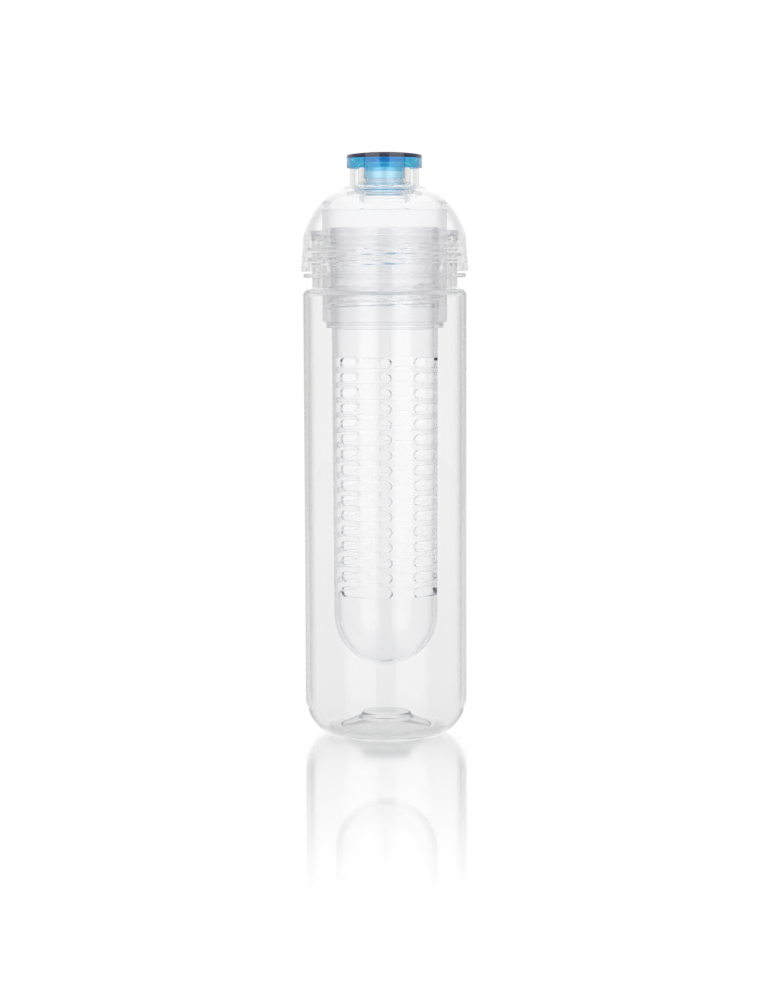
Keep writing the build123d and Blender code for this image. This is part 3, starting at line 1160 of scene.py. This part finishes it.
blue_cap = clear_plastic(
    "blue_cap",
    tint=(1, 1, 1),
    ior=1.50,
    ripple=(5, 0.0012),
    roughness=(0.0, 0.012),
    absorb_colour=(0.10, 0.795, 0.925),
    density=1500,
    coat=0.4,
)
pale_blue_plug = clear_plastic(
    "pale_blue_plug",
    tint=(1, 1, 1),
    ior=1.40,
    ripple=(4, 0.002),
    roughness=(0.02, 0.05),
    absorb_colour=(0.36, 0.80, 0.95),
    density=350,
    coat=0.4,
)
seal_silicone = milky_rubber(
    "seal_silicone",
    tint=(0.98, 0.98, 0.99),
    transmission=0.95,
    ior=1.10,
    ripple=(1.5, 0.002),
    roughness=(0.14, 0.22),
)

# The pieces, what each stands for, the body it rides on and its finish
dressed = [
    (make_bottle_body(), "bottle_body", "bottle", "clear_body", clear_body),
    (make_lid_dome(), "lid_dome", "lid", "clear_lid", clear_lid),
    (make_mouthpiece(), "mouthpiece", "lid", "clear_lid", clear_lid),
    (make_infuser_sleeve(), "infuser_sleeve", "lid", "hazy_sleeve", hazy_sleeve),
    (make_infuser_basket(), "infuser_basket", "infuser", "clear_basket", clear_basket),
    (make_lid_gasket(), "lid_gasket", "lid_ring", "silicone", seal_silicone),
    (make_infuser_gasket(), "infuser_gasket", "infuser_ring", "silicone", seal_silicone),
    (make_stopper_cap(), "stopper_cap", "stopper", "blue_cap", blue_cap),
    (make_stopper_plug(), "stopper_plug", "stopper", "pale_blue_plug", pale_blue_plug),
    (make_stopper_seal(), "stopper_seal", "stopper", "silicone", seal_silicone),
]
for piece, node, body, slot_name, material in dressed:
    piece.data.materials.clear()
    piece.data.materials.append(material)
    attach(piece, body)
    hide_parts(node)


# Floor
def make_floor():
    """A white table top that keeps a faint shadow, and mirrors the bottle near its foot."""
    corners = [
        (-floor_half_width, floor_front, 0),
        (floor_half_width, floor_front, 0),
        (floor_half_width, floor_back, 0),
        (-floor_half_width, floor_back, 0),
    ]
    mesh = bpy.data.meshes.new("floor")
    mesh.from_pydata(corners, [], [(0, 1, 2, 3)])
    floor = bpy.data.objects.new("floor", mesh)
    bpy.context.scene.collection.objects.link(floor)
    floor.data.materials.append(floor_material())


def floor_material():
    """Glowing white, with a little matte white for the shadow, under a mirror that fades out."""
    material, shader = node_material("white_floor")
    tree = material.node_tree
    tree.nodes.remove(shader)
    light_path = tree.nodes.new("ShaderNodeLightPath")
    seen = light_path.outputs["Is Camera Ray"]
    place = split_axes(tree, tree.nodes.new("ShaderNodeTexCoord").outputs["Object"])

    glow = tree.nodes.new("ShaderNodeEmission")
    around = smooth_rise(tree, place["Y"], front_light, 1.0, floor_light_range)
    tree.links.new(pick(tree, seen, around, floor_glow), glow.inputs["Strength"])
    matte = tree.nodes.new("ShaderNodeBsdfDiffuse")
    lit = mix_shaders(tree, shadow_share, glow.outputs[0], matte.outputs[0])

    polish = tree.nodes.new("ShaderNodeBsdfGlossy")
    polish.inputs["Color"].default_value = (1, 1, 1, 1)
    haze = smooth_rise(tree, place["Y"], mirror_far_haze, mirror_near_haze, mirror_haze_range)
    tree.links.new(haze, polish.inputs["Roughness"])
    rise = smooth_rise(tree, place["Y"], 0.0, mirror_share, mirror_rise_range)
    fall = smooth_rise(tree, place["Y"], 1.0, 0.0, mirror_fall_range)
    beside = smooth_rise(tree, without_sign(tree, place["X"]), 1.0, 0.0, mirror_side_range)
    mirror = multiply(tree, multiply(tree, rise, fall), beside)
    mirrored = pick(tree, seen, mirror_share_unseen, mirror)
    polished = mix_shaders(tree, mirrored, lit, polish.outputs[0])

    # The bottle's own walls mirror the room through the floor, so their bands of light run on down
    passing = tree.nodes.new("ShaderNodeBsdfTransparent")
    by_gloss = light_path.outputs["Is Reflection Ray"]
    surface = mix_shaders(tree, by_gloss, polished, passing.outputs[0])
    tree.links.new(surface, tree.nodes["Material Output"].inputs["Surface"])
    return material


make_floor()


# Light
def make_room():
    """White where the camera looks; to other rays bright behind the bottle and dimmer in front."""
    world = bpy.data.worlds.new("studio")
    bpy.context.scene.world = world
    world.use_nodes = True
    tree = world.node_tree
    background = tree.nodes["Background"]
    light_path = tree.nodes.new("ShaderNodeLightPath")
    direction = tree.nodes.new("ShaderNodeTexCoord").outputs["Generated"]
    towards = split_axes(tree, direction)
    tilted = tree.nodes.new("ShaderNodeVectorMath")
    tilted.operation = "DOT_PRODUCT"
    tilted.inputs[1].default_value = room_axis
    tree.links.new(direction, tilted.inputs[0])
    along = tilted.outputs["Value"]
    sides = smooth_rise(tree, without_sign(tree, towards["X"]), 1.0, side_light, side_range)
    around = multiply(tree, smooth_rise(tree, along, front_light, 1.0, room_range), sides)
    # Gloss mirrors a room that is dimmer still in front, but white all round above the horizon
    below = multiply(tree, smooth_rise(tree, along, front_gloss, 1.0, room_range), sides)
    above = smooth_rise(tree, towards["Z"], 0.0, 1.0, horizon_range)
    mirrored = pick(tree, above, below, 1.0)
    room = pick(tree, light_path.outputs["Is Reflection Ray"], around, mirrored)
    strength = pick(tree, light_path.outputs["Is Camera Ray"], room, 1.0)
    tree.links.new(strength, background.inputs["Strength"])
    background.inputs["Color"].default_value = (1, 1, 1, 1)


def add_softbox(name, azimuth):
    """A tall soft light that faces the bottle; azimuth 0 is the camera's side."""
    light = bpy.data.lights.new(name, "AREA")
    light.shape = "RECTANGLE"
    light.size = softbox_width
    light.size_y = softbox_height
    light.energy = softbox_radiance * math.pi * softbox_width * softbox_height
    lamp = bpy.data.objects.new(name, light)
    angle = math.radians(azimuth)
    beside = softbox_distance * math.sin(angle)
    in_front = softbox_distance * math.cos(angle)
    lamp.location = (beside, -in_front, softbox_middle)
    aim = Vector((0, 0, softbox_middle)) - lamp.location
    lamp.rotation_euler = aim.to_track_quat("-Z", "Y").to_euler()
    bpy.context.scene.collection.objects.link(lamp)


make_room()
add_softbox("softbox_left", -softbox_azimuth)
add_softbox("softbox_right", softbox_azimuth)


# Camera
def add_camera():
    """The photograph's view, tipped down by the pitch and turned in its frame by the lean."""
    camera = bpy.data.cameras.new("camera")
    camera.sensor_width = sensor_width
    camera.lens = lens
    eye = bpy.data.objects.new("camera", camera)
    eye.location = (0, -camera_distance, camera_height)
    eye.rotation_mode = "XYZ"
    pitch = Euler((math.radians(90 - camera_pitch), 0, 0)).to_quaternion()
    lean = Quaternion((0, 0, 1), math.radians(camera_lean))
    eye.rotation_euler = (pitch @ lean).to_euler()
    bpy.context.scene.collection.objects.link(eye)
    bpy.context.scene.camera = eye


add_camera()
scene = bpy.context.scene
scene.view_settings.view_transform = "Standard"
scene.cycles.max_bounces = clear_bounces
scene.cycles.transmission_bounces = clear_bounces
scene.cycles.glossy_bounces = mirror_bounces
scene.cycles.transparent_max_bounces = see_through_bounces
